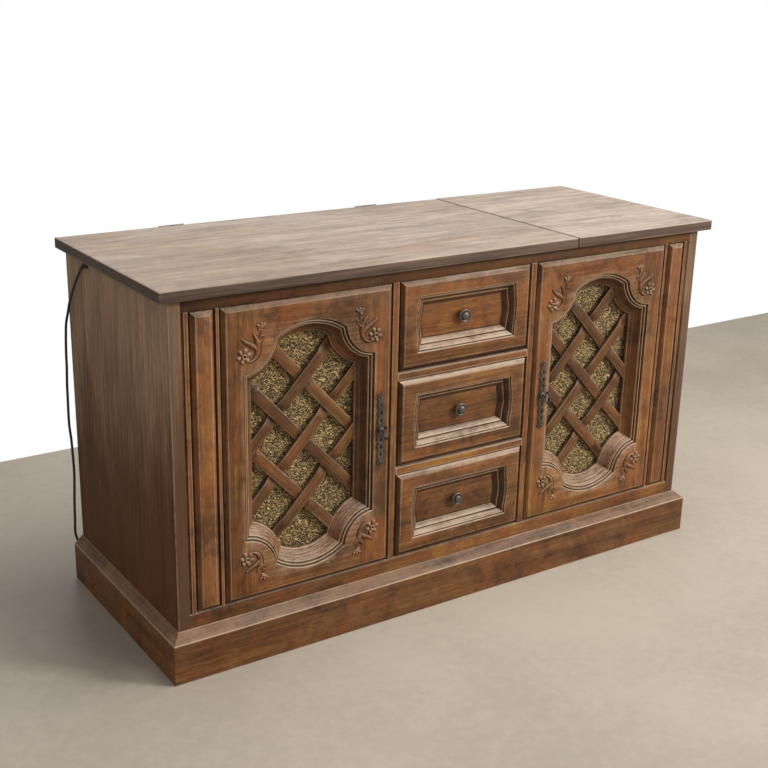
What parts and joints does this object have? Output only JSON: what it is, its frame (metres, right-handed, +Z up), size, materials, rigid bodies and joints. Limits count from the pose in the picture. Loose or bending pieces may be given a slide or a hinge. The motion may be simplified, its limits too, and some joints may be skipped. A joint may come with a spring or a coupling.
{
  "type": "gramophone cabinet",
  "caption": "Low sideboard for a record changer and tuner under a lifting lid, with lattice doors over loudspeakers and drawers between them.",
  "frame": {"origin": "middle of the base, on the floor", "axes": "+X to the right when facing the doors, +Y to the back, +Z up"},
  "size_m": [1.235, 0.5905, 0.7],
  "materials": {
    "stained_oak": "worn satin",
    "weathered_top": "dry and faded",
    "side_veneer": "dull",
    "inside_board": "raw",
    "hardboard": "matt",
    "dark_iron": "worn black",
    "pewter": "aged",
    "grille_cloth": "woven",
    "cone_paper": "matt",
    "sheet_metal": "satin",
    "bright_metal": "polished",
    "mat_rubber": "matt",
    "black_plate": "satin",
    "silver_plastic": "satin",
    "pointer_red": "matt",
    "dial_window": "clear",
    "cord_rubber": "matt"
  },
  "bodies": {
    "cabinet": {"side_left": "side_veneer", "side_right": "side_veneer", "base_moulding": "stained_oak", "corner_blocks": "inside_board", "rear_rails": "inside_board", "bottom_board": "inside_board", "partitions": "inside_board", "face_frame": "stained_oak", "pilasters": "stained_oak", "top_right": "weathered_top", "back_panel": "hardboard", "back_screws": "pewter", "deck_board": "inside_board", "drawer_runners": "inside_board", "baffles": "inside_board", "loudspeakers": "cone_paper", "door_pins": "dark_iron", "changer_base": "sheet_metal", "spindle": "bright_metal", "arm_post": "bright_metal", "tuner_case": "sheet_metal", "control_panel": "black_plate", "dial_glass": "dial_window", "cable_grommet": "mat_rubber", "fixed_hinge_leaves": "dark_iron", "mains_cord": "cord_rubber", "cord_coil": "cord_rubber", "plug": "cord_rubber"},
    "lid": {"lid_panel": "weathered_top", "lid_hinge_leaves": "dark_iron"},
    "left_door": {"door_left": "stained_oak", "lattice_left": "stained_oak", "cloth_left": "grille_cloth", "pull_left": "dark_iron"},
    "right_door": {"door_right": "stained_oak", "lattice_right": "stained_oak", "cloth_right": "grille_cloth", "pull_right": "dark_iron"},
    "left_key": {"key_left": "dark_iron"},
    "right_key": {"key_right": "dark_iron"},
    "top_drawer": {"drawer_front_top": "stained_oak", "drawer_box_top": "inside_board", "drawer_knob_top": "pewter"},
    "middle_drawer": {"drawer_front_middle": "stained_oak", "drawer_box_middle": "inside_board", "drawer_knob_middle": "pewter"},
    "bottom_drawer": {"drawer_front_bottom": "stained_oak", "drawer_box_bottom": "inside_board", "drawer_knob_bottom": "pewter"},
    "turntable": {"platter": "sheet_metal", "platter_mat": "mat_rubber"},
    "arm": {"tonearm": "bright_metal"},
    "lever": {"play_lever": "silver_plastic"},
    "volume": {"volume_knob": "silver_plastic"},
    "tone": {"tone_knob": "silver_plastic"},
    "tuning": {"tuning_knob": "silver_plastic"},
    "pointer": {"dial_pointer": "pointer_red"},
    "phono": {"phono_button": "silver_plastic"},
    "am": {"am_button": "silver_plastic"},
    "fm": {"fm_button": "silver_plastic"}
  },
  "joints": [
    {"name": "lid_hinge", "type": "hinge", "parent": "cabinet", "child": "lid", "pos_m": [-0.157, 0.2375, 0.697], "axis": [-1, 0, 0], "range_deg": [0, 85]},
    {"name": "left_door_hinge", "type": "hinge", "parent": "cabinet", "child": "left_door", "pos_m": [-0.496, -0.213, 0.3875], "axis": [0, 0, -1], "range_deg": [0, 100]},
    {"name": "right_door_hinge", "type": "hinge", "parent": "cabinet", "child": "right_door", "pos_m": [0.496, -0.213, 0.3875], "axis": [0, 0, 1], "range_deg": [0, 100]},
    {"name": "left_key_turn", "type": "hinge", "parent": "left_door", "child": "left_key", "pos_m": [-0.191, -0.222, 0.3875], "axis": [0, 1, 0], "range_deg": [0, 90]},
    {"name": "right_key_turn", "type": "hinge", "parent": "right_door", "child": "right_key", "pos_m": [0.191, -0.222, 0.3875], "axis": [0, -1, 0], "range_deg": [0, 90]},
    {"name": "top_drawer_slide", "type": "slide", "parent": "cabinet", "child": "top_drawer", "axis": [0, -1, 0], "range_m": [0, 0.26]},
    {"name": "middle_drawer_slide", "type": "slide", "parent": "cabinet", "child": "middle_drawer", "axis": [0, -1, 0], "range_m": [0, 0.26]},
    {"name": "bottom_drawer_slide", "type": "slide", "parent": "cabinet", "child": "bottom_drawer", "axis": [0, -1, 0], "range_m": [0, 0.26]},
    {"name": "turntable_spin", "type": "hinge", "parent": "cabinet", "child": "turntable", "pos_m": [-0.39075, 0.034, 0.6], "axis": [0, 0, -1], "continuous": true},
    {"name": "arm_swing", "type": "hinge", "parent": "cabinet", "child": "arm", "pos_m": [-0.23275, 0.138, 0.62], "axis": [0, 0, -1], "range_deg": [0, 42]},
    {"name": "lever_swing", "type": "hinge", "parent": "cabinet", "child": "lever", "pos_m": [-0.21475, -0.067, 0.592], "axis": [0, 0, 1], "range_deg": [-15, 15]},
    {"name": "volume_turn", "type": "hinge", "parent": "cabinet", "child": "volume", "pos_m": [-0.105, -0.06, 0.66], "axis": [0, 0, -1], "range_deg": [0, 300]},
    {"name": "tone_turn", "type": "hinge", "parent": "cabinet", "child": "tone", "pos_m": [-0.052, -0.06, 0.66], "axis": [0, 0, -1], "range_deg": [-150, 150]},
    {"name": "tuning_turn", "type": "hinge", "parent": "cabinet", "child": "tuning", "pos_m": [0.105, -0.06, 0.66], "axis": [0, 0, -1], "range_deg": [-720, 720]},
    {"name": "pointer_slide", "type": "slide", "parent": "cabinet", "child": "pointer", "axis": [1, 0, 0], "range_m": [-0.1, 0.1]},
    {"name": "phono_press", "type": "slide", "parent": "cabinet", "child": "phono", "axis": [0, 0, -1], "range_m": [0, 0.004], "stiffness_N_per_m": 300},
    {"name": "am_press", "type": "slide", "parent": "cabinet", "child": "am", "axis": [0, 0, -1], "range_m": [0, 0.004], "stiffness_N_per_m": 300},
    {"name": "fm_press", "type": "slide", "parent": "cabinet", "child": "fm", "axis": [0, 0, -1], "range_m": [0, 0.004], "stiffness_N_per_m": 300}
  ],
  "couplings": [
    {"joint": "pointer_slide", "follows": "tuning_turn", "m_per_rad": 0.00795}
  ]
}
